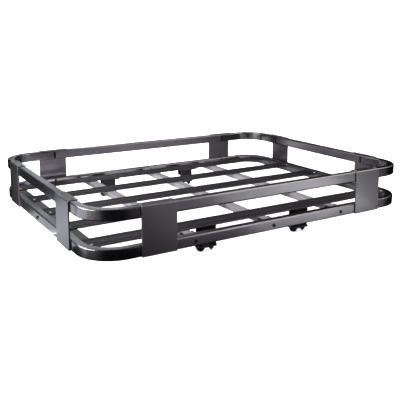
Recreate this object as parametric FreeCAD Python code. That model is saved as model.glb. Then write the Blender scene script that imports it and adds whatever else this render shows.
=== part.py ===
"""Roof basket: an open frame of two rounded rails joined by upright plates, with a slatted deck.

Millimetres. X runs along the long sides, Y across the basket and Z up.
The origin is the centre of the footprint, on the plane that the clamp bolts stand on.
"""
import FreeCAD, Part
import math
import os

V = FreeCAD.Vector

# Overall sizes, measured over the outer faces of the rails
basket_length = 1300.0
basket_width = 1000.0
side_height = 155.0
mount_reach = 57.0

# Rail section: a tube with rounded edges, used for both levels
rail_height = 36.0
rail_depth = 28.0
rail_wall = 2.5
rail_edge_radius = 4.5
corner_radius = 122.0

# Sleeves inside the tubes, fixed in the corner rails, that line up the seams behind the plates
sleeve_length = 40.0
sleeve_grip = 20.0
sleeve_wall = 2.0
sleeve_clearance = 0.3

# Upright joint plates on the outside of the rails
plate_width = 118.0
plate_thickness = 5.0
plate_flange = 2.0
plate_inset = 160.0
plate_edge_radius = 3.0
joint_gap = 1.0

# Deck slats: flat strips with a grooved top and a shallow lip along each edge
slat_count = 5
slat_width = 80.0
slat_height = 4.0
slat_wall = 2.5
slat_rail_gap = 42.0
slat_edge_radius = 2.0
slat_groove_width = 5.0
slat_groove_depth = 1.0
slat_groove_offset = 22.0
slat_drop = 2.0
slat_end_clearance = 1.5

# Crossbars under the slats, and the two end beams
bar_width = 36.0
bar_height = 20.0
bar_wall = 2.0
bar_edge_radius = 3.0
bar_spacing = 304.0
bar_count = 3
beam_width = 34.0
corner_clearance = 2.0

# Cradles that carry the crossbars' ends
cradle_length = 34.0
cradle_wall = 4.0
cradle_shelf = 3.0

# Bolts through the lower rails, one for each cradle and three for each end beam
bolt_diameter = 8.0
bolt_hole_clearance = 0.3
bolt_head_diameter = 12.0
bolt_head_height = 4.0
bolt_socket_width = 5.0
bolt_socket_depth = 2.5
bolt_height = 17.0
beam_bolt_inset = 9.0

# Clamps that slide along the outer slats and hold the basket on a vehicle's roof bars
clamp_spacing_x = 394.0
clamp_shift_x = -17.0
hanger_end_margin = 7.5
hanger_width = 36.0
hanger_wall = 4.0
hanger_below_rail = 9.0
pad_thickness = 3.0
pad_stud_clearance = 2.0
clamp_opening = 24.0
jaw_end_margin = 14.0
jaw_thickness = 6.0
jaw_lip = 4.0
stud_diameter = 8.0
stud_spacing = 42.0
stud_hole_clearance = 0.3
stud_head_height = 4.0
knob_diameter = 34.0
knob_tip_diameter = 20.0
knob_height = 12.0
knob_lobes = 6
knob_notch_radius = 6.0
nut_width = 16.0
nut_height = 10.0

# Levels and half sizes that follow from the values above
half_length = basket_length / 2
half_width = basket_width / 2
rail_base = mount_reach
upper_base = rail_base + side_height - rail_height
rail_inner_x = half_length - rail_depth
rail_inner_y = half_width - rail_depth
inner_radius = corner_radius - rail_depth
joint_offset = plate_inset + plate_width / 2
slat_top = rail_base + rail_height - slat_drop
slat_base = slat_top - slat_height
bar_base = slat_base - bar_height

os.makedirs("parts", exist_ok=True)


def save(name, shape):
    """Write one named piece."""
    shape.exportStep("parts/" + name + ".step")


def rounded_rectangle(width, height, radius):
    """A closed wire in the XY plane, centred, with rounded corners."""
    a = width / 2
    b = height / 2
    r = min(radius, a * 0.99, b * 0.99)
    k = r * (1 - math.sqrt(0.5))
    edges = [
        Part.makeLine(V(-a + r, -b, 0), V(a - r, -b, 0)),
        Part.Arc(V(a - r, -b, 0), V(a - k, -b + k, 0), V(a, -b + r, 0)).toShape(),
        Part.makeLine(V(a, -b + r, 0), V(a, b - r, 0)),
        Part.Arc(V(a, b - r, 0), V(a - k, b - k, 0), V(a - r, b, 0)).toShape(),
        Part.makeLine(V(a - r, b, 0), V(-a + r, b, 0)),
        Part.Arc(V(-a + r, b, 0), V(-a + k, b - k, 0), V(-a, b - r, 0)).toShape(),
        Part.makeLine(V(-a, b - r, 0), V(-a, -b + r, 0)),
        Part.Arc(V(-a, -b + r, 0), V(-a + k, -b + k, 0), V(-a + r, -b, 0)).toShape(),
    ]
    return Part.Wire(edges)


def tube_face(width, height, wall, radius):
    """The cut section of a tube, in the XY plane."""
    outer = rounded_rectangle(width, height, radius)
    inner = rounded_rectangle(width - 2 * wall, height - 2 * wall, max(radius - wall, 0.5))
    return Part.Face(outer).cut(Part.Face(inner)).Faces[0]


def rail_face_at(centre, along_x):
    """The rail's section at a point, square to the direction that it runs in."""
    face = tube_face(rail_depth, rail_height, rail_wall, rail_edge_radius)
    face.rotate(V(0, 0, 0), V(1, 0, 0), 90)
    if along_x:
        face.rotate(V(0, 0, 0), V(0, 0, 1), 90)
    face.translate(centre)
    return face


def straight_rail(run, offset, base, along_x):
    """A straight rail of the given length, its outer face at the given distance from the middle."""
    middle = abs(offset) - rail_depth / 2
    level = base + rail_height / 2
    side = math.copysign(1, offset)
    if along_x:
        start = V(-run / 2, side * middle, level)
        travel = V(run, 0, 0)
    else:
        start = V(side * middle, -run / 2, level)
        travel = V(0, run, 0)
    return rail_face_at(start, along_x).extrude(travel)


def sleeve():
    """A short tube: its +Y end grips the corner rail, and its -Y end slips into the straight one."""
    width = rail_depth - 2 * rail_wall
    height = rail_height - 2 * rail_wall
    radius = max(rail_edge_radius - rail_wall, 0.5)
    slip = 2 * sleeve_clearance
    gripped = tube_face(width, height, sleeve_wall + sleeve_clearance, radius)
    slipped = tube_face(width - slip, height - slip, sleeve_wall, radius - sleeve_clearance)
    for face in (gripped, slipped):
        face.rotate(V(0, 0, 0), V(1, 0, 0), 90)
    return gripped.extrude(V(0, sleeve_grip, 0)).fuse(slipped.extrude(V(0, -sleeve_length, 0)))


def corner_rail(base):
    """The corner rail at +X +Y: a quarter bend with a straight leg at each end."""
    level = base + rail_height / 2
    centre_x = half_length - corner_radius
    centre_y = half_width - corner_radius
    middle_radius = corner_radius - rail_depth / 2
    leg = joint_offset - joint_gap / 2 - corner_radius
    section_y = rail_face_at(V(centre_x + middle_radius, centre_y, level), False)
    section_x = rail_face_at(V(centre_x, centre_y + middle_radius, level), True)
    bend = section_y.revolve(V(centre_x, centre_y, 0), V(0, 0, 1), 90)
    leg_y = section_y.extrude(V(0, -leg, 0))
    leg_x = section_x.extrude(V(-leg, 0, 0))
    tube = bend.fuse([leg_y, leg_x]).removeSplitter()
    sleeve_y = sleeve()
    sleeve_y.translate(V(centre_x + middle_radius, centre_y - leg, level))
    sleeve_x = sleeve()
    sleeve_x.rotate(V(0, 0, 0), V(0, 0, 1), -90)
    sleeve_x.translate(V(centre_x - leg, centre_y + middle_radius, level))
    return tube.fuse([sleeve_y, sleeve_x])


def mirrored(shape, flip_x, flip_y):
    """A copy of a piece, flipped to another corner of the basket."""
    copy = shape.copy()
    if flip_x:
        copy = copy.mirror(V(0, 0, 0), V(1, 0, 0))
    if flip_y:
        copy = copy.mirror(V(0, 0, 0), V(0, 1, 0))
    return copy


CORNERS = {
    "front_left": (True, True),
    "front_right": (False, True),
    "back_left": (True, False),
    "back_right": (False, False),
}


# Straight rails, with holes in the lower ones for the bolts of the crossbars and end beams
run_x = basket_length - 2 * joint_offset - joint_gap
run_y = basket_width - 2 * joint_offset - joint_gap
bar_places = [(i - (bar_count - 1) / 2) * bar_spacing for i in range(bar_count)]
bolt_level = rail_base + bolt_height

save("upper_rail_front", straight_rail(run_x, -half_width, upper_base, True))
save("upper_rail_back", straight_rail(run_x, half_width, upper_base, True))
save("upper_rail_left", straight_rail(run_y, -half_length, upper_base, False))
save("upper_rail_right", straight_rail(run_y, half_length, upper_base, False))

hole_radius = bolt_diameter / 2 + bolt_hole_clearance
bolt_holes = [
    Part.makeCylinder(hole_radius, rail_depth + 2, V(x, rail_inner_y - 1, bolt_level), V(0, 1, 0))
    for x in bar_places
]
lower_back = straight_rail(run_x, half_width, rail_base, True).cut(bolt_holes)
save("lower_rail_back", lower_back)
save("lower_rail_front", mirrored(lower_back, False, True))

beam_bolt_reach = half_width - corner_radius - beam_bolt_inset
beam_bolt_places = [-beam_bolt_reach, 0, beam_bolt_reach]
beam_holes = [
    Part.makeCylinder(hole_radius, rail_depth + 2, V(rail_inner_x - 1, y, bolt_level), V(1, 0, 0))
    for y in beam_bolt_places
]
lower_right = straight_rail(run_y, half_length, rail_base, False).cut(beam_holes)
save("lower_rail_right", lower_right)
save("lower_rail_left", mirrored(lower_right, True, False))

# Rounded corner rails
upper_corner = corner_rail(upper_base)
lower_corner = corner_rail(rail_base).cut(beam_holes)
for place, flips in CORNERS.items():
    save("upper_corner_" + place, mirrored(upper_corner, *flips))
    save("lower_corner_" + place, mirrored(lower_corner, *flips))


# Joint plates: an upright sheet over both rails, with a flange over the upper rail
def joint_plate():
    """A plate for a long side, its inner face on y = 0 and its middle on x = 0."""
    low = rail_base
    high = rail_base + side_height + plate_flange
    bend = plate_thickness
    k = bend * (1 - math.sqrt(0.5))
    y_out = plate_thickness
    edges = [
        Part.makeLine(V(0, 0, low), V(0, y_out, low)),
        Part.makeLine(V(0, y_out, low), V(0, y_out, high - bend)),
        Part.Arc(V(0, y_out, high - bend), V(0, y_out - k, high - k), V(0, y_out - bend, high)).toShape(),
        Part.makeLine(V(0, y_out - bend, high), V(0, -rail_depth, high)),
        Part.makeLine(V(0, -rail_depth, high), V(0, -rail_depth, high - plate_flange)),
        Part.makeLine(V(0, -rail_depth, high - plate_flange), V(0, 0, high - plate_flange)),
        Part.makeLine(V(0, 0, high - plate_flange), V(0, 0, low)),
    ]
    face = Part.Face(Part.Wire(edges))
    face.translate(V(-plate_width / 2, 0, 0))
    plate = face.extrude(V(plate_width, 0, 0))
    radius = min(plate_edge_radius, plate_thickness * 0.8, plate_flange * 0.8)
    rims = []
    for edge in plate.Edges:
        box = edge.BoundBox
        upright = box.ZLength > side_height / 2
        if upright and box.YMin > plate_thickness * 0.5:
            rims.append(edge)
    return plate.makeFillet(radius, rims)


plate = joint_plate()
plate_x = half_length - joint_offset
plate_y = half_width - joint_offset
long_side_plate = plate.copy()
long_side_plate.translate(V(plate_x, half_width, 0))
short_side_plate = plate.copy()
short_side_plate.rotate(V(0, 0, 0), V(0, 0, 1), -90)
short_side_plate.translate(V(half_length, plate_y, 0))
save("joint_plate_back_right", mirrored(long_side_plate, False, False))
save("joint_plate_back_left", mirrored(long_side_plate, True, False))
save("joint_plate_front_right", mirrored(long_side_plate, False, True))
save("joint_plate_front_left", mirrored(long_side_plate, True, True))
save("joint_plate_right_back", mirrored(short_side_plate, False, False))
save("joint_plate_left_back", mirrored(short_side_plate, True, False))
save("joint_plate_right_front", mirrored(short_side_plate, False, True))
save("joint_plate_left_front", mirrored(short_side_plate, True, True))


def corner_trim():
    """What lies outside the lower rail's inner bend, with a clearance, at all four corners."""
    corner_x = half_length - corner_radius
    corner_y = half_width - corner_radius
    block = Part.makeBox(corner_radius, corner_radius, rail_height, V(corner_x, corner_y, rail_base))
    bend = Part.makeCylinder(inner_radius - corner_clearance, rail_height, V(corner_x, corner_y, rail_base))
    trim = block.cut(bend)
    return [mirrored(trim, *flips) for flips in CORNERS.values()]


corner_trims = corner_trim()

# Deck slats: strips with small lips, rounded along the top edges and grooved on top
outer_slat_edge = rail_inner_y - slat_rail_gap
slat_pitch = 2 * (outer_slat_edge - slat_width / 2) / (slat_count - 1)
slat_places = [(i - (slat_count - 1) / 2) * slat_pitch for i in range(slat_count)]
slat_half = rail_inner_x - slat_end_clearance


def slat():
    """One slat, centred on the origin with its underside at z = 0."""
    outer = Part.makeBox(2 * slat_half, slat_width, slat_height, V(-slat_half, -slat_width / 2, 0))
    rims = []
    for edge in outer.Edges:
        box = edge.BoundBox
        if box.XLength > slat_half and box.ZMin > slat_height / 2:
            rims.append(edge)
    outer = outer.makeFillet(min(slat_edge_radius, slat_wall * 0.9), rims)
    inner_width = slat_width - 2 * slat_wall
    depth = slat_height - slat_wall
    hollow = Part.makeBox(2 * slat_half + 2, inner_width, depth, V(-slat_half - 1, -inner_width / 2, 0))
    grooves = []
    for side in (-1, 1):
        y = side * slat_groove_offset - slat_groove_width / 2
        z = slat_height - slat_groove_depth
        start = V(-slat_half - 1, y, z)
        grooves.append(Part.makeBox(2 * slat_half + 2, slat_groove_width, slat_groove_depth + 1, start))
    return outer.cut([hollow] + grooves)


one_slat = slat()
for number, y in enumerate(slat_places, 1):
    piece = one_slat.copy()
    piece.translate(V(0, y, slat_base))
    save("deck_slat_%d" % number, piece.cut(corner_trims))

# Crossbars: tubes from cradle to cradle, under the slats
bar_half = rail_inner_y - cradle_wall
bar_face = tube_face(bar_width, bar_height, bar_wall, bar_edge_radius)
bar_face.rotate(V(0, 0, 0), V(1, 0, 0), 90)
bar_face.translate(V(0, bar_half, bar_base + bar_height / 2))
bar = bar_face.extrude(V(0, -2 * bar_half, 0))
for number, x in enumerate(bar_places, 1):
    piece = bar.copy()
    piece.translate(V(x, 0, 0))
    save("crossbar_%d" % number, piece)


def hexagon(width, height):
    """An upright hexagonal prism on z = 0, with the given width across its flats."""
    reach = width / math.sqrt(3)
    points = [V(reach * math.cos(math.pi * i / 3), reach * math.sin(math.pi * i / 3), 0) for i in range(7)]
    return Part.Face(Part.makePolygon(points)).extrude(V(0, 0, height))


def bolt(grip):
    """A bolt along Y whose domed head with a hexagon socket stands on y = 0, its shank on the -Y side."""
    shank = Part.makeCylinder(bolt_diameter / 2, grip + bolt_head_height / 2, V(0, -grip, 0), V(0, 1, 0))
    head = Part.makeCylinder(bolt_head_diameter / 2, bolt_head_height, V(0, 0, 0), V(0, 1, 0))
    crown = []
    for edge in head.Edges:
        if edge.BoundBox.YMin > bolt_head_height * 0.9:
            crown.append(edge)
    head = head.makeFillet(bolt_head_height * 0.6, crown)
    socket = hexagon(bolt_socket_width, bolt_socket_depth + 1)
    socket.rotate(V(0, 0, 0), V(1, 0, 0), -90)
    socket.translate(V(0, bolt_head_height - bolt_socket_depth, 0))
    return head.fuse(shank).cut(socket)


# End beams: tubes against the short sides' lower rails, trimmed to the corner's curve, with their bolts
beam_face = tube_face(beam_width, bar_height, bar_wall, bar_edge_radius)
beam_face.rotate(V(0, 0, 0), V(1, 0, 0), 90)
beam_face.translate(V(rail_inner_x - beam_width / 2, half_width, bar_base + bar_height / 2))
beam = beam_face.extrude(V(0, -basket_width, 0))
end_beam = beam.cut(corner_trims)
for y in beam_bolt_places:
    fixing = bolt(rail_depth + bar_wall / 2)
    fixing.rotate(V(0, 0, 0), V(0, 0, 1), -90)
    fixing.translate(V(half_length, y, bolt_level))
    end_beam = end_beam.fuse(fixing)
save("end_beam_right", end_beam)
save("end_beam_left", mirrored(end_beam, True, False))


# Cradles: a back plate on the rail, a shelf and two ears around the bar, and the bolt
def cradle():
    """The cradle for a crossbar's end at x = 0 on the back rail."""
    width = bar_width + 2 * cradle_wall
    height = cradle_shelf + bar_height
    y0 = rail_inner_y - cradle_length
    z0 = bar_base - cradle_shelf
    block = Part.makeBox(width, cradle_length, height, V(-width / 2, y0, z0))
    pocket = Part.makeBox(bar_width, cradle_length - cradle_wall + 1, height, V(-bar_width / 2, y0 - 1, bar_base))
    body = block.cut(pocket)
    rims = []
    for edge in body.Edges:
        box = edge.BoundBox
        if box.YLength > cradle_length * 0.9 and box.ZMax < z0 + 0.1:
            rims.append(edge)
    body = body.makeFillet(min(cradle_wall, cradle_shelf) * 0.8, rims)
    fixing = bolt(rail_depth + cradle_wall / 2)
    fixing.translate(V(0, half_width, bolt_level))
    return body.fuse(fixing)


one_cradle = cradle()
back_cradles = []
for x in bar_places:
    piece = one_cradle.copy()
    piece.translate(V(x, 0, 0))
    back_cradles.append(piece)
back_set = Part.makeCompound(back_cradles)
save("crossbar_cradles_back", back_set)
save("crossbar_cradles_front", mirrored(back_set, False, True))


# Mounting clamps: a hanger under the outer slats, and a jaw drawn up by two studs
hanger_base = rail_base - hanger_below_rail
pad_base = hanger_base - pad_thickness
jaw_top = pad_base - clamp_opening
jaw_base = jaw_top - jaw_thickness
hanger_length = stud_spacing + 2 * hanger_end_margin
jaw_length = stud_spacing + 2 * jaw_end_margin


def hanger():
    """A channel with a top flange as wide as the slat, a pad on its underside and holes for the studs."""
    height = slat_base - hanger_base
    block = Part.makeBox(hanger_length, hanger_width, height, V(-hanger_length / 2, -hanger_width / 2, hanger_base))
    start = V(-hanger_length / 2, hanger_width / 2 - slat_width, slat_base - hanger_wall)
    block = block.fuse(Part.makeBox(hanger_length, slat_width, hanger_wall, start))
    inside = hanger_width - 2 * hanger_wall
    depth = height - 2 * hanger_wall
    start = V(-hanger_length / 2 - 1, -inside / 2, hanger_base + hanger_wall)
    tunnel = Part.makeBox(hanger_length + 2, inside, depth, start)
    pad_length = stud_spacing - stud_diameter - 2 * pad_stud_clearance
    pad = Part.makeBox(pad_length, hanger_width, pad_thickness, V(-pad_length / 2, -hanger_width / 2, pad_base))
    body = block.cut(tunnel).fuse(pad)
    radius = stud_diameter / 2 + stud_hole_clearance
    holes = []
    for side in (-1, 1):
        start = V(side * stud_spacing / 2, 0, hanger_base - 1)
        holes.append(Part.makeCylinder(radius, hanger_wall + 2, start))
    return body.cut(holes).removeSplitter()


def jaw():
    """The lower jaw with its two studs, a tapered star knob on one and a hexagon nut on the other."""
    block = Part.makeBox(jaw_length, hanger_width, jaw_thickness, V(-jaw_length / 2, -hanger_width / 2, jaw_base))
    upright = [edge for edge in block.Edges if edge.BoundBox.ZLength > jaw_thickness / 2]
    block = block.makeFillet(hanger_width / 5, upright)
    pieces = [block]
    lip_x = jaw_length / 2 - jaw_lip
    for side in (-1, 1):
        x = side * stud_spacing / 2
        length = hanger_base + hanger_wall + stud_head_height / 2
        pieces.append(Part.makeCylinder(stud_diameter / 2, length, V(x, 0, 0)))
        head = Part.makeCylinder(stud_diameter * 0.85, stud_head_height, V(x, 0, hanger_base + hanger_wall))
        pieces.append(head)
        lip = Part.makeBox(jaw_lip, hanger_width * 0.5, jaw_lip, V(0, -hanger_width * 0.25, jaw_top))
        lip.translate(V(side * lip_x + (0 if side > 0 else -jaw_lip), 0, 0))
        pieces.append(lip)
    knob_base = V(-stud_spacing / 2, 0, jaw_base - knob_height)
    knob = Part.makeCone(knob_tip_diameter / 2, knob_diameter / 2, knob_height, knob_base)
    notches = []
    for i in range(knob_lobes):
        angle = 2 * math.pi * i / knob_lobes
        reach = knob_diameter / 2 + knob_notch_radius * 0.4
        x = -stud_spacing / 2 + reach * math.cos(angle)
        y = reach * math.sin(angle)
        notches.append(Part.makeCylinder(knob_notch_radius, knob_height, V(x, y, jaw_base - knob_height)))
    pieces.append(knob.cut(notches))
    nut = hexagon(nut_width, nut_height)
    nut.translate(V(stud_spacing / 2, 0, jaw_base - nut_height))
    pieces.append(nut)
    return pieces[0].fuse(pieces[1:]).removeSplitter()


one_hanger = hanger()
one_jaw = jaw()
clamp_y = outer_slat_edge - hanger_width / 2
for place, (on_left, in_front) in CORNERS.items():
    side = -1 if on_left else 1
    shift = V(clamp_shift_x + side * clamp_spacing_x / 2, clamp_y, 0)
    piece = one_hanger.copy()
    piece.translate(shift)
    save("clamp_hanger_" + place, mirrored(piece, False, in_front))
    piece = one_jaw.copy()
    piece.translate(shift)
    save("clamp_jaw_" + place, mirrored(piece, False, in_front))
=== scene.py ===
import math

import bmesh
import bpy
from bpy.props import FloatProperty, FloatVectorProperty, IntProperty, PointerProperty
from bpy.types import Operator, Panel, PropertyGroup
from mathutils import Euler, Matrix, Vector


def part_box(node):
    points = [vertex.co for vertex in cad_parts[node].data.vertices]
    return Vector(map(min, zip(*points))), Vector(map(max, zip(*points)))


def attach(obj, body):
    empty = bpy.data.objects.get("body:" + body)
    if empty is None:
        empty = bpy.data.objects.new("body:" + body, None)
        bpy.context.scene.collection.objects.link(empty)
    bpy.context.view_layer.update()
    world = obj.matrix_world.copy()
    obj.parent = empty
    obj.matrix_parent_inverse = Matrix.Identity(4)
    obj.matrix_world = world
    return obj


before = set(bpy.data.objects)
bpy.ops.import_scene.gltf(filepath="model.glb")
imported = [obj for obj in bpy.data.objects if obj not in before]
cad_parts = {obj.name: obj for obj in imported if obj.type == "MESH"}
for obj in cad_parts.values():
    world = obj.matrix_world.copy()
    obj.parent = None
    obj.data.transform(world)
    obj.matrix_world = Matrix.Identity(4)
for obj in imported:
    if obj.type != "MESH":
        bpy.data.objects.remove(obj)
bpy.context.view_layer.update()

bl_info = {
    "name": "Roof basket finishes",
    "version": (1, 0, 0),
    "blender": (4, 5, 0),
    "location": "3D View > Sidebar > Basket",
    "description": "Coats, screws and a studio for a roof basket whose frame is already loaded",
    "category": "Object",
}

SIDES = ("front", "back", "left", "right")
LEVELS = ("upper", "lower")

# Range of a noise pattern that is put to use
PATTERN_LOW = 0.3
PATTERN_HIGH = 0.7

# Powder coats: slow clouds of gloss over a fine grain
CLOUDS_PER_METRE = 7.0
CLOUD_DETAIL = 3.0
CLOUD_SHADES = (0.8, 1.25)
CLOUD_GLOSS = (-0.04, 0.05)
GRAIN_DETAIL = 2.0
GRAIN_DEPTH = 0.25
LACQUER_ROUGHNESS = 0.14
RAIL_RELIEF = 0.08
CORNER_RELIEF = 0.003
PLATE_MATTNESS = 0.06
SLAT_COAT = {"roughness": 0.5, "relief": 0.4, "specular": 0.22, "lacquer": 0.0}
FITTING_COAT = {"roughness": 0.5, "specular": 0.18, "lacquer": 0.0}
BOLT_COAT = {"roughness": 0.45, "specular": 0.18, "lacquer": 0.0}
SCREW_COLOUR = (0.004, 0.004, 0.004)
SCREW_COAT = {"roughness": 0.4, "grain": 0.0006}
# Seam strips: a near-black matt coat, a painted shadow of the gaps between the rails
SEAM_SHADOW_COLOUR = (0.001, 0.001, 0.001)
SEAM_SHADOW_COAT = {
    "roughness": 0.9, "grain": 0.0008, "relief": 0.3, "specular": 0.04, "lacquer": 0.0,
}

# Bare metal: die lines along a bar, and a grain
DIE_LINE_STRETCH = (1, 0.02, 1)
DIE_LINES_PER_METRE = 420.0
DIE_LINE_DETAIL = 3.0
METAL_GRAINS_PER_METRE = 260.0
METAL_GRAIN_DETAIL = 4.0
METAL_SHADES = (0.72, 1.2)
METAL_ROUGHNESS = (0.36, 0.6)
METAL_RELIEF = 0.3
METAL_DEPTH = 0.0002
# End beams: the crossbars' metal darkened as painted shade, standing in for the shadow that the
# joint plates and rails cast on them
END_BEAM_PAINTED_SHADE = 0.22
BOLT_CLEARANCE = 0.001
BRIGHT_COLOUR = (0.4, 0.4, 0.41)
BRIGHT_GRAINS_PER_METRE = 900.0
BRIGHT_ROUGHNESS = (0.2, 0.42)

# Screws: the head's outline as shares of its radius and height, from the seat up
HEAD_OUTLINE = ((1, 0), (1, 0.25), (0.95, 0.55), (0.8, 0.85))
HEAD_FLAT = 0.55
SOCKET_LIP = 1.2
SOCKET_TOP = 0.96
SOCKET_FLOOR = 0.25
SLAT_SCREW_HEIGHT = 0.25
SLAT_SCREW_SOCKET = 0.4
SHARP_ANGLE = 0.6

# Seam strips, dark sheets that paint the shadow in the gaps between the rails: free share of the
# rail's height at each end, and width of the flat crest
SEAM_MARGIN = 0.125
SEAM_CREST = 0.6

# Floor and camera
FLOOR_STEPS = 64
FLOOR_RINGS = (3.0, 6.0, 9.0)
FLOOR_BEND = 3.0
FLOOR_BEND_STEPS = 8
FLOOR_TOP = 9.0
FLOOR_CLOUDS_PER_METRE = 2.0
FLOOR_CLOUD_DETAIL = 2.0
FLOOR_SHADES = (0.985, 1.0)
CAMERA_SENSOR = 36
CAMERA_REACH = 100


def nodes_named(*starts):
    """Objects of the frame whose node names begin with one of the given words."""
    return [piece for name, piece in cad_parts.items() if name.startswith(starts)]


class BasketFinish(PropertyGroup):
    """Colours and gloss of the basket's coats and bare metal."""

    rail_colour: FloatVectorProperty(
        name="Rail colour", description="Colour of the coat on the rounded rails",
        default=(0.0012, 0.0012, 0.0014), min=0, max=1, subtype="COLOR")
    plate_colour: FloatVectorProperty(
        name="Plate colour", description="Colour of the coat on the upright joint plates",
        default=(0.0026, 0.0018, 0.0020), min=0, max=1, subtype="COLOR")
    slat_colour: FloatVectorProperty(
        name="Slat colour", description="Colour of the grained coat on the deck slats",
        default=(0.005, 0.0046, 0.005), min=0, max=1, subtype="COLOR")
    bar_colour: FloatVectorProperty(
        name="Crossbar colour", description="Colour of the bare crossbars under the deck",
        default=(0.14, 0.14, 0.144), min=0, max=1, subtype="COLOR")
    fitting_colour: FloatVectorProperty(
        name="Fitting colour", description="Colour of the black brackets and clamps",
        default=(0.001, 0.001, 0.001), min=0, max=1, subtype="COLOR")
    coat_roughness: FloatProperty(
        name="Coat roughness", description="How matt the rails' coat is",
        default=0.3, min=0.05, max=1, subtype="FACTOR")
    corner_shine: FloatProperty(
        name="Corner shine",
        description="How much less matt the bent corner rails are than the straight ones",
        default=0.08, min=0, max=0.25, subtype="FACTOR")
    grain_size: FloatProperty(
        name="Grain size", description="Width of one grain of the powder coat",
        default=0.0011, min=0.0002, max=0.01, subtype="DISTANCE", unit="LENGTH")


class BasketScrews(PropertyGroup):
    """Sizes of the small screws and seams."""

    head_diameter: FloatProperty(
        name="Head diameter", description="Width of a screw's head",
        default=0.009, min=0.004, max=0.02, subtype="DISTANCE", unit="LENGTH")
    head_height: FloatProperty(
        name="Head height", description="Height of a screw's head over its seat",
        default=0.003, min=0.001, max=0.01, subtype="DISTANCE", unit="LENGTH")
    socket_width: FloatProperty(
        name="Socket width", description="Width across the flats of the hexagon socket",
        default=0.004, min=0.001, max=0.01, subtype="DISTANCE", unit="LENGTH")
    plate_spacing: FloatProperty(
        name="Plate screw spacing",
        description="Distance between the two screws on a plate's flange",
        default=0.098, min=0.01, max=0.11, subtype="DISTANCE", unit="LENGTH")
    slat_screw_size: FloatProperty(
        name="Slat screw size", description="Width of a slat screw's head",
        default=0.008, min=0.003, max=0.02, subtype="DISTANCE", unit="LENGTH")
    slat_inset: FloatProperty(
        name="Slat screw inset", description="Distance from a slat's end to its screw",
        default=0.0115, min=0.004, max=0.05, subtype="DISTANCE", unit="LENGTH")
    slat_offset: FloatProperty(
        name="Slat screw offset",
        description="Distance of a slat's screw from the slat's middle line",
        default=-0.020, min=-0.035, max=0.035, subtype="DISTANCE", unit="LENGTH")
    seam_width: FloatProperty(
        name="Seam width", description="Width of the dark strip in the seams between the rails",
        default=0.009, min=0.001, max=0.02, subtype="DISTANCE", unit="LENGTH")
    seam_rise: FloatProperty(
        name="Seam rise", description="How far the strip stands out from the rail's inner face",
        default=0.0004, min=0.0001, max=0.002, subtype="DISTANCE", unit="LENGTH")
    facets: IntProperty(
        name="Facets", description="Steps round a screw's head", default=24, min=12, max=48)


class BasketStudio(PropertyGroup):
    """Camera, floor and lamps."""

    camera_place: FloatVectorProperty(
        name="Camera place", description="Where the camera stands",
        default=(-1.2234, -2.0321, 0.6930), subtype="TRANSLATION", unit="LENGTH")
    camera_heading: FloatProperty(
        name="Camera heading", description="Turn to the right of straight across the basket",
        default=0.5471, subtype="ANGLE", unit="ROTATION")
    camera_dip: FloatProperty(
        name="Camera dip", description="How far the camera looks down",
        default=0.1558, subtype="ANGLE", unit="ROTATION")
    lens: FloatProperty(
        name="Lens", description="Focal length of the camera",
        default=54.25, min=10, max=200, unit="CAMERA")
    frame_rise: FloatProperty(
        name="Frame rise", description="Upward shift of the lens, as a share of the picture",
        default=-0.1685, min=-0.5, max=0.5, subtype="FACTOR")
    floor_colour: FloatVectorProperty(
        name="Floor colour", description="Colour of the plain floor",
        default=(0.86, 0.86, 0.86), min=0, max=1, subtype="COLOR")
    floor_glow: FloatProperty(
        name="Floor glow",
        description="Light that the floor gives by itself, which keeps it white in the shade",
        default=0.6, min=0, max=3)
    sky_strength: FloatProperty(
        name="Sky strength", description="Brightness of the even light from all round",
        default=0.9, min=0, max=3)


# Tints of the lamps
PLAIN = (1, 1, 1)
COOL = (0.86, 0.87, 1)
ROSE = (0.96, 0.84, 1)
WARM = (1, 0.94, 0.92)
PALE = (0.95, 0.96, 1)

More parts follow.
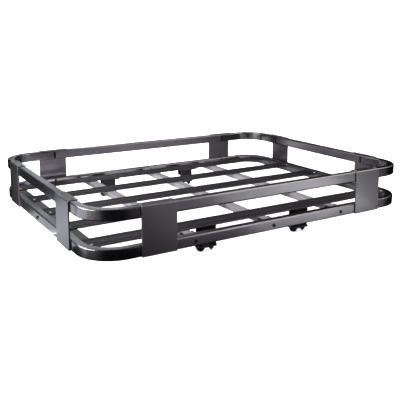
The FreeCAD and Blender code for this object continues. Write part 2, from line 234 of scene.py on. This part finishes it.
# Soft lamps: name, place, target, width, height, power in watts and tint
LAMPS = (
    ("top", (0, 0, 3), (0, 0, 0), 1.8, 1.8, 30, COOL),
    ("high_back_left", (-1.9, 1.9, 2.4), (0, -0.3, 0.15), 1.5, 1.5, 80, PALE),
    ("high_left", (-1.5, 0.2, 2.8), (0, -0.3, 0.15), 1.5, 1.5, 40, PALE),
    ("high_right", (2.2, -0.9, 2.9), (0, -0.3, 0.15), 1.5, 1.5, 100, WARM),
    ("panel_back_left_high", (-2.21, 1.55, 1.7), (0, 0, 0.15), 1.05, 1.3, 22, WARM),
    ("panel_back_left_low", (-2.9, 0.78, 0.5), (0, 0, 0.15), 1.05, 0.98, 53, COOL),
    ("panel_back_right_low", (1.72, 2.46, 0.5), (0, 0, 0.15), 1.05, 0.98, 1.1, ROSE),
    ("panel_front_right_high", (1.35, -2.34, 1.7), (0, 0, 0.15), 1.05, 1.3, 19, WARM),
    ("panel_front_right_low", (1.5, -2.6, 0.5), (0, 0, 0.15), 1.05, 0.98, 34, ROSE),
    ("panel_left", (-2.99, -0.26, 0.5), (0, 0, 0.15), 1.6, 0.98, 160, PLAIN),
    ("panel_right_back_high", (2.66, 0.47, 1.7), (0, 0, 0.15), 1.05, 1.3, 5.6, ROSE),
    ("panel_right_high", (2.45, -1.14, 1.7), (0, 0, 0.15), 1.05, 1.3, 13, WARM),
    ("window_middle", (0.1, 3, 1.6), (0, 0, 0.2), 1, 0.7, 4, COOL),
    ("window_right", (1.12, 2.78, 1.6), (0, 0, 0.2), 1, 0.7, 1.6, COOL),
    ("slit_left", (0.17, 3, 0.93), (-0.65, 0.1, 0.2), 0.35, 0.35, 0.5, COOL),
    ("slit_right", (0.75, 2.9, 0.9), (-0.4, 0, 0.2), 0.45, 0.5, 1.6, PLAIN),
    ("back_low_middle", (-0.15, 0.85, 0.01), (-0.15, 0.55, 1.01), 0.45, 0.5, 3.4, ROSE),
    ("back_low_right", (0.3, 0.85, 0.01), (0.3, 0.55, 1.01), 0.45, 0.5, 1.2, ROSE),
    ("front_low_1", (0, -1.15, 0.01), (0, -0.85, 1.01), 0.35, 0.6, 0.44, ROSE),
    ("front_low_2", (0.35, -1.15, 0.01), (0.35, -0.85, 1.01), 0.35, 0.6, 2, PALE),
    ("front_low_3", (0.7, -1.15, 0.01), (0.7, -0.85, 1.01), 0.35, 0.6, 3.5, PALE),
    ("front_low_4", (1.05, -1.15, 0.01), (1.05, -0.85, 1.01), 0.35, 0.6, 0.38, COOL),
    ("left_low_far", (-1.25, -0.1, 0.01), (-0.95, -0.1, 1.01), 0.5, 0.5, 2.4, COOL),
    ("left_low_front", (-1.25, -0.6, 0.01), (-0.95, -0.6, 1.01), 0.5, 0.5, 0.55, ROSE),
    ("left_low_near", (-0.85, 0.15, 0.01), (-0.55, 0.15, 1.01), 0.5, 0.3, 0.68, COOL),
    ("near_low", (0.25, -0.72, 0.01), (0.25, -0.42, 1.01), 0.35, 0.24, 0.24, ROSE),
    ("under_left", (-0.45, 0, 0.01), (-0.45, 0.3, 1.01), 0.45, 0.35, 3.4, ROSE),
    ("under_middle", (0, 0, 0.01), (0, 0.3, 1.01), 0.45, 0.35, 2.1, COOL),
    ("under_right", (0.45, 0, 0.01), (0.45, 0.3, 1.01), 0.45, 0.35, 1.6, ROSE),
)


# Material helpers

def new_finish(name, colour, metallic, roughness):
    """A material with its shader's plain values set, and the shader's node."""
    material = bpy.data.materials.new(name)
    material.use_nodes = True
    shader = material.node_tree.nodes["Principled BSDF"]
    shader.inputs["Base Color"].default_value = (*colour, 1)
    shader.inputs["Metallic"].default_value = metallic
    shader.inputs["Roughness"].default_value = roughness
    return material, shader


def body_coordinates(tree, stretch=(1, 1, 1)):
    """The basket's own coordinates in metres, stretched where a grain runs one way."""
    place = tree.nodes.new("ShaderNodeTexCoord")
    mapping = tree.nodes.new("ShaderNodeMapping")
    mapping.inputs["Scale"].default_value = stretch
    tree.links.new(place.outputs["Object"], mapping.inputs["Vector"])
    return mapping.outputs["Vector"]


def noise(tree, coordinates, scale, detail):
    """A noise pattern with the given number of cells to the metre."""
    node = tree.nodes.new("ShaderNodeTexNoise")
    node.inputs["Scale"].default_value = scale
    node.inputs["Detail"].default_value = detail
    tree.links.new(coordinates, node.inputs["Vector"])
    return node.outputs["Fac"]


def spread(tree, value, low, high):
    """A noise pattern moved to another range."""
    node = tree.nodes.new("ShaderNodeMapRange")
    node.inputs["From Min"].default_value = PATTERN_LOW
    node.inputs["From Max"].default_value = PATTERN_HIGH
    node.inputs["To Min"].default_value = low
    node.inputs["To Max"].default_value = high
    tree.links.new(value, node.inputs["Value"])
    return node.outputs["Result"]


def shade_between(tree, value, dark, light, low=0.35, high=0.65):
    """A colour between two, chosen by a pattern."""
    node = tree.nodes.new("ShaderNodeValToRGB")
    node.color_ramp.elements[0].position = low
    node.color_ramp.elements[0].color = (*dark, 1)
    node.color_ramp.elements[1].position = high
    node.color_ramp.elements[1].color = (*light, 1)
    tree.links.new(value, node.inputs["Fac"])
    return node.outputs["Color"]


def bump(tree, shader, height, strength, distance):
    """Fine relief on the surface."""
    node = tree.nodes.new("ShaderNodeBump")
    node.inputs["Strength"].default_value = strength
    node.inputs["Distance"].default_value = distance
    tree.links.new(height, node.inputs["Height"])
    tree.links.new(node.outputs["Normal"], shader.inputs["Normal"])


def tinted(colour, factor):
    """A colour made darker or lighter."""
    return tuple(min(1.0, part * factor) for part in colour)


def shades(colour, factors):
    """A darker and a lighter shade of a colour."""
    return [tinted(colour, factor) for factor in factors]


def powder_coat(name, colour, roughness, grain, relief=0.15, specular=0.8, lacquer=0.3):
    """A black powder coat: a fine pebbled skin with a slow change of gloss."""
    material, shader = new_finish(name, colour, metallic=0.0, roughness=roughness)
    tree = material.node_tree
    place = body_coordinates(tree)
    slow = noise(tree, place, CLOUDS_PER_METRE, CLOUD_DETAIL)
    fine = noise(tree, place, 1.0 / grain, GRAIN_DETAIL)
    shade = shade_between(tree, slow, *shades(colour, CLOUD_SHADES))
    tree.links.new(shade, shader.inputs["Base Color"])
    gloss = spread(tree, slow, *(roughness + change for change in CLOUD_GLOSS))
    tree.links.new(gloss, shader.inputs["Roughness"])
    shader.inputs["Specular IOR Level"].default_value = specular
    shader.inputs["Coat Weight"].default_value = lacquer
    shader.inputs["Coat Roughness"].default_value = LACQUER_ROUGHNESS
    bump(tree, shader, fine, relief, grain * GRAIN_DEPTH)
    return material


def bare_bar(name, colour):
    """Bare drawn metal: long die lines along the bar over a fine grain."""
    material, shader = new_finish(name, colour, metallic=0.25, roughness=0.45)
    tree = material.node_tree
    stretched = body_coordinates(tree, DIE_LINE_STRETCH)
    lines = noise(tree, stretched, DIE_LINES_PER_METRE, DIE_LINE_DETAIL)
    grain = noise(tree, body_coordinates(tree), METAL_GRAINS_PER_METRE, METAL_GRAIN_DETAIL)
    mix = tree.nodes.new("ShaderNodeMath")
    mix.operation = "ADD"
    tree.links.new(spread(tree, lines, 0, 0.5), mix.inputs[0])
    tree.links.new(spread(tree, grain, 0, 0.5), mix.inputs[1])
    shade = shade_between(tree, mix.outputs[0], *shades(colour, METAL_SHADES), low=0.2, high=0.8)
    tree.links.new(shade, shader.inputs["Base Color"])
    tree.links.new(spread(tree, grain, *METAL_ROUGHNESS), shader.inputs["Roughness"])
    bump(tree, shader, mix.outputs[0], METAL_RELIEF, METAL_DEPTH)
    return material


def dress(pieces, material):
    """One material on each of the given pieces."""
    for piece in pieces:
        piece.data.materials.clear()
        piece.data.materials.append(material)


def dress_beyond(piece, material, reach):
    """A second material on the faces that lie beyond a distance from the middle along X."""
    data = piece.data
    data.materials.append(material)
    for face in data.polygons:
        place = piece.matrix_world @ face.center
        if abs(place.x) > reach:
            face.material_index = len(data.materials) - 1


# Screws and seam strips

def hexagon_reach(angle, apothem):
    """Distance from the middle to a hexagon's side in a direction."""
    part = math.pi / 3
    return apothem / math.cos((angle % part) - part / 2)


def add_screw(mesh, centre, diameter, height, socket, steps):
    """A button-head screw with a hexagon socket, standing up on its seat."""
    radius = diameter / 2
    apothem = socket / 2
    rim = max(radius * HEAD_FLAT, apothem * SOCKET_LIP)
    profile = [(radius * reach, height * level, False) for reach, level in HEAD_OUTLINE]
    profile.append((rim, height, False))
    profile.append((apothem, height * SOCKET_TOP, True))
    profile.append((apothem, height * SOCKET_FLOOR, True))
    rings = []
    for reach, level, hexagon in profile:
        ring = []
        for i in range(steps):
            angle = 2 * math.pi * i / steps
            r = hexagon_reach(angle, reach) if hexagon else reach
            offset = Vector((r * math.cos(angle), r * math.sin(angle), level))
            ring.append(mesh.verts.new(centre + offset))
        rings.append(ring)
    for lower, upper in zip(rings, rings[1:]):
        for i in range(steps):
            j = (i + 1) % steps
            mesh.faces.new((lower[i], lower[j], upper[j], upper[i]))
    mesh.faces.new(rings[-1])
    mesh.faces.new(list(reversed(rings[0])))


def add_strip(mesh, run, end, inner, sign, half, bottom, top, rise):
    """A thin upright strip with softened sides, on a rail's inner face."""
    crest = half * SEAM_CREST
    profile = ((-half, 0), (-crest, rise), (crest, rise), (half, 0))
    rows = []
    for level in (bottom, top):
        row = []
        for offset, out in profile:
            place = [0, 0, level]
            place[run] = end + offset
            place[1 - run] = inner - sign * out
            row.append(mesh.verts.new(place))
        rows.append(row)
    foot, head = rows
    last = len(profile) - 1
    for i in range(last):
        mesh.faces.new((foot[i], foot[i + 1], head[i + 1], head[i]))
    mesh.faces.new((foot[last], foot[0], head[0], head[last]))
    mesh.faces.new(list(reversed(foot)))
    mesh.faces.new(head)


def object_from(mesh, name, material):
    """A smooth object made from a finished mesh and linked to the scene."""
    data = bpy.data.meshes.new(name)
    mesh.to_mesh(data)
    mesh.free()
    for face in data.polygons:
        face.use_smooth = True
    data.materials.append(material)
    made = bpy.data.objects.new(name, data)
    bpy.context.scene.collection.objects.link(made)
    return made


def add_piece(mesh, name, material):
    """Make a finished mesh a piece of the basket."""
    bmesh.ops.recalc_face_normals(mesh, faces=mesh.faces)
    piece = object_from(mesh, name, material)
    piece.data.set_sharp_from_angle(angle=SHARP_ANGLE)
    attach(piece, "root")


# Steps of the build

class BASKET_OT_coat_rails(Operator):
    """Coat the rounded rails of both levels"""

    bl_idname = "basket.coat_rails"
    bl_label = "Coat rails"

    def execute(self, context):
        finish = context.scene.basket_finish
        coat = powder_coat(
            "rail_coat", finish.rail_colour, finish.coat_roughness, finish.grain_size,
            relief=RAIL_RELIEF)
        dress(nodes_named("upper_rail_", "lower_rail_"), coat)
        sheen = powder_coat(
            "corner_coat", finish.rail_colour, finish.coat_roughness - finish.corner_shine,
            finish.grain_size, relief=CORNER_RELIEF)
        dress(nodes_named("upper_corner_", "lower_corner_"), sheen)
        return {"FINISHED"}


class BASKET_OT_coat_plates(Operator):
    """Coat the upright joint plates"""

    bl_idname = "basket.coat_plates"
    bl_label = "Coat joint plates"

    def execute(self, context):
        finish = context.scene.basket_finish
        coat = powder_coat(
            "plate_coat", finish.plate_colour, finish.coat_roughness + PLATE_MATTNESS,
            finish.grain_size)
        dress(nodes_named("joint_plate_"), coat)
        return {"FINISHED"}


class BASKET_OT_coat_slats(Operator):
    """Coat the deck slats"""

    bl_idname = "basket.coat_slats"
    bl_label = "Coat deck slats"

    def execute(self, context):
        finish = context.scene.basket_finish
        coat = powder_coat(
            "slat_coat", finish.slat_colour, grain=finish.grain_size, **SLAT_COAT)
        dress(nodes_named("deck_slat_"), coat)
        return {"FINISHED"}


class BASKET_OT_finish_bars(Operator):
    """Give the crossbars their bare metal, and the end beams the same metal darkened with painted
    shade
    """

    bl_idname = "basket.finish_bars"
    bl_label = "Finish crossbars"

    def execute(self, context):
        finish = context.scene.basket_finish
        crossbars = nodes_named("crossbar_1", "crossbar_2", "crossbar_3")
        dress(crossbars, bare_bar("crossbar_metal", finish.bar_colour))
        # The end beams' metal is darkened here: painted shade for the shadow of the plates and
        # rails
        beam_colour_with_painted_shade = tinted(finish.bar_colour, END_BEAM_PAINTED_SHADE)
        dress(nodes_named("end_beam_"), bare_bar("end_beam_metal_painted_shade", beam_colour_with_painted_shade))
        bolt_coat = powder_coat(
            "bolt_coat", finish.fitting_colour, grain=finish.grain_size, **BOLT_COAT)
        inner_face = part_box("lower_rail_right")[0][0]
        for beam in nodes_named("end_beam_"):
            dress_beyond(beam, bolt_coat, inner_face + BOLT_CLEARANCE)
        return {"FINISHED"}


class BASKET_OT_coat_fittings(Operator):
    """Coat the brackets and clamps"""

    bl_idname = "basket.coat_fittings"
    bl_label = "Coat brackets and clamps"

    def execute(self, context):
        finish = context.scene.basket_finish
        coat = powder_coat(
            "fitting_coat", finish.fitting_colour, grain=finish.grain_size, **FITTING_COAT)
        dress(nodes_named("crossbar_cradles_", "clamp_"), coat)
        return {"FINISHED"}


class BASKET_OT_add_plate_screws(Operator):
    """Put two screws on each joint plate's flange"""

    bl_idname = "basket.add_plate_screws"
    bl_label = "Add plate screws"

    def execute(self, context):
        sizes = context.scene.basket_screws
        mesh = bmesh.new()
        for plate in nodes_named("joint_plate_"):
            low, high = (Vector(corner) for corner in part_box(plate.name))
            middle = (low + high) / 2
            middle.z = high.z
            along = Vector((1, 0, 0)) if high.x - low.x > high.y - low.y else Vector((0, 1, 0))
            for side in (-0.5, 0.5):
                place = middle + along * side * sizes.plate_spacing
                add_screw(
                    mesh, place, sizes.head_diameter, sizes.head_height, sizes.socket_width,
                    sizes.facets)
        metal = powder_coat("screw_coat", SCREW_COLOUR, **SCREW_COAT)
        add_piece(mesh, "plate_screws", metal)
        return {"FINISHED"}


class BASKET_OT_add_seam_strips(Operator):
    """Lay a thin dark strip on the inner face of each seam between two rails, as painted shadow
    of the gap
    """

    bl_idname = "basket.add_seam_strips"
    bl_label = "Add seam strips"

    def execute(self, context):
        sizes = context.scene.basket_screws
        mesh = bmesh.new()
        half = sizes.seam_width / 2
        for level in LEVELS:
            for side in SIDES:
                low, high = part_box(level + "_rail_" + side)
                run = 0 if high[0] - low[0] > high[1] - low[1] else 1
                across = 1 - run
                sign = 1 if high[across] > 0 else -1
                inner = low[across] if sign > 0 else high[across]
                edge = (high[2] - low[2]) * SEAM_MARGIN
                for end in (low[run], high[run]):
                    add_strip(
                        mesh, run, end, inner, sign, half, low[2] + edge, high[2] - edge,
                        sizes.seam_rise)
        # Near-black coat: painted shadow of the gap at each seam
        coat = powder_coat("seam_painted_shadow", SEAM_SHADOW_COLOUR, **SEAM_SHADOW_COAT)
        add_piece(mesh, "seam_strips", coat)
        return {"FINISHED"}


class BASKET_OT_add_slat_screws(Operator):
    """Put a small bright screw at each end of every deck slat"""

    bl_idname = "basket.add_slat_screws"
    bl_label = "Add slat screws"

    def execute(self, context):
        sizes = context.scene.basket_screws
        size = sizes.slat_screw_size
        mesh = bmesh.new()
        for slat in nodes_named("deck_slat_"):
            low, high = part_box(slat.name)
            middle = (low[1] + high[1]) / 2
            for x in (low[0] + sizes.slat_inset, high[0] - sizes.slat_inset):
                place = Vector((x, middle + sizes.slat_offset, high[2]))
                add_screw(
                    mesh, place, size, size * SLAT_SCREW_HEIGHT, size * SLAT_SCREW_SOCKET,
                    sizes.facets)
        metal, shader = new_finish("bright_screw", BRIGHT_COLOUR, metallic=1.0, roughness=0.35)
        tree = metal.node_tree
        grain = noise(tree, body_coordinates(tree), BRIGHT_GRAINS_PER_METRE, GRAIN_DETAIL)
        tree.links.new(spread(tree, grain, *BRIGHT_ROUGHNESS), shader.inputs["Roughness"])
        add_piece(mesh, "slat_screws", metal)
        return {"FINISHED"}


# Floor, lamps and camera

def lamp(name, place, target, width, height, power, colour):
    """A soft rectangular lamp aimed at a point."""
    data = bpy.data.lights.new(name, "AREA")
    data.shape = "RECTANGLE"
    data.size = width
    data.size_y = height
    data.energy = power
    data.color = colour
    lamp_object = bpy.data.objects.new(name, data)
    lamp_object.location = place
    aim = Vector(target) - Vector(place)
    lamp_object.rotation_euler = aim.to_track_quat("-Z", "Y").to_euler()
    lamp_object.visible_camera = False
    bpy.context.scene.collection.objects.link(lamp_object)


def add_floor(studio):
    """A plain pale floor that curves up far behind the basket on every side."""
    mesh = bmesh.new()
    rim = FLOOR_RINGS[-1]
    profile = [(reach, 0.0) for reach in FLOOR_RINGS]
    for i in range(1, FLOOR_BEND_STEPS + 1):
        angle = math.pi / 2 * i / FLOOR_BEND_STEPS
        profile.append((rim + FLOOR_BEND * math.sin(angle), FLOOR_BEND * (1 - math.cos(angle))))
    profile.append((rim + FLOOR_BEND, FLOOR_TOP))
    centre = mesh.verts.new((0, 0, 0))
    rings = []
    for reach, level in profile:
        ring = []
        for i in range(FLOOR_STEPS):
            angle = 2 * math.pi * i / FLOOR_STEPS
            ring.append(mesh.verts.new((reach * math.cos(angle), reach * math.sin(angle), level)))
        rings.append(ring)
    for i in range(FLOOR_STEPS):
        j = (i + 1) % FLOOR_STEPS
        mesh.faces.new((centre, rings[0][i], rings[0][j]))
        for inner, outer in zip(rings, rings[1:]):
            mesh.faces.new((inner[i], outer[i], outer[j], inner[j]))
    colour = studio.floor_colour
    material, shader = new_finish("floor_paper", colour, metallic=0.0, roughness=0.9)
    tree = material.node_tree
    patch = noise(tree, body_coordinates(tree), FLOOR_CLOUDS_PER_METRE, FLOOR_CLOUD_DETAIL)
    shade = shade_between(tree, patch, *shades(colour, FLOOR_SHADES))
    tree.links.new(shade, shader.inputs["Base Color"])
    tree.links.new(shade, shader.inputs["Emission Color"])
    shader.inputs["Emission Strength"].default_value = studio.floor_glow
    shader.inputs["Specular IOR Level"].default_value = 0.1
    floor = object_from(mesh, "floor", material)
    floor.visible_glossy = False


class BASKET_OT_build_studio(Operator):
    """Set up the floor, the soft lamps and the camera"""

    bl_idname = "basket.build_studio"
    bl_label = "Build studio"

    def execute(self, context):
        scene = context.scene
        studio = scene.basket_studio
        add_floor(studio)
        world = bpy.data.worlds.new("studio_sky")
        world.use_nodes = True
        sky = world.node_tree.nodes["Background"]
        sky.inputs["Color"].default_value = (1, 1, 1, 1)
        sky.inputs["Strength"].default_value = studio.sky_strength
        scene.world = world
        world.cycles_visibility.glossy = False
        for name, place, target, width, height, power, colour in LAMPS:
            lamp(name, place, target, width, height, power, colour)
        data = bpy.data.cameras.new("photo_camera")
        data.lens = studio.lens
        data.sensor_width = CAMERA_SENSOR
        data.shift_y = studio.frame_rise
        data.clip_end = CAMERA_REACH
        camera = bpy.data.objects.new("photo_camera", data)
        camera.location = studio.camera_place
        level = math.pi / 2 - studio.camera_dip
        camera.rotation_euler = Euler((level, 0, -studio.camera_heading))
        scene.collection.objects.link(camera)
        scene.camera = camera
        scene.view_settings.view_transform = "Standard"
        return {"FINISHED"}


OPERATORS = (
    BASKET_OT_coat_rails,
    BASKET_OT_coat_plates,
    BASKET_OT_coat_slats,
    BASKET_OT_finish_bars,
    BASKET_OT_coat_fittings,
    BASKET_OT_add_plate_screws,
    BASKET_OT_add_seam_strips,
    BASKET_OT_add_slat_screws,
    BASKET_OT_build_studio,
)


class BASKET_PT_panel(Panel):
    """Sizes, colours and steps of the roof basket"""

    bl_label = "Roof basket"
    bl_idname = "BASKET_PT_panel"
    bl_space_type = "VIEW_3D"
    bl_region_type = "UI"
    bl_category = "Basket"

    def draw(self, context):
        layout = self.layout
        scene = context.scene
        for group in (scene.basket_finish, scene.basket_screws, scene.basket_studio):
            column = layout.column(align=True)
            for name in group.__annotations__:
                column.prop(group, name)
        for operator in OPERATORS:
            layout.operator(operator.bl_idname)


CLASSES = (BasketFinish, BasketScrews, BasketStudio) + OPERATORS + (BASKET_PT_panel,)


def register():
    """Add the add-on's classes and settings."""
    for item in CLASSES:
        bpy.utils.register_class(item)
    bpy.types.Scene.basket_finish = PointerProperty(type=BasketFinish)
    bpy.types.Scene.basket_screws = PointerProperty(type=BasketScrews)
    bpy.types.Scene.basket_studio = PointerProperty(type=BasketStudio)


def unregister():
    """Remove the add-on's classes and settings."""
    del bpy.types.Scene.basket_studio
    del bpy.types.Scene.basket_screws
    del bpy.types.Scene.basket_finish
    for item in reversed(CLASSES):
        bpy.utils.unregister_class(item)


def main():
    """Finish the whole basket."""
    register()
    bpy.ops.basket.coat_rails()
    bpy.ops.basket.coat_plates()
    bpy.ops.basket.coat_slats()
    bpy.ops.basket.finish_bars()
    bpy.ops.basket.coat_fittings()
    bpy.ops.basket.add_plate_screws()
    bpy.ops.basket.add_seam_strips()
    bpy.ops.basket.add_slat_screws()
    bpy.ops.basket.build_studio()


if __name__ == "__main__":
    main()
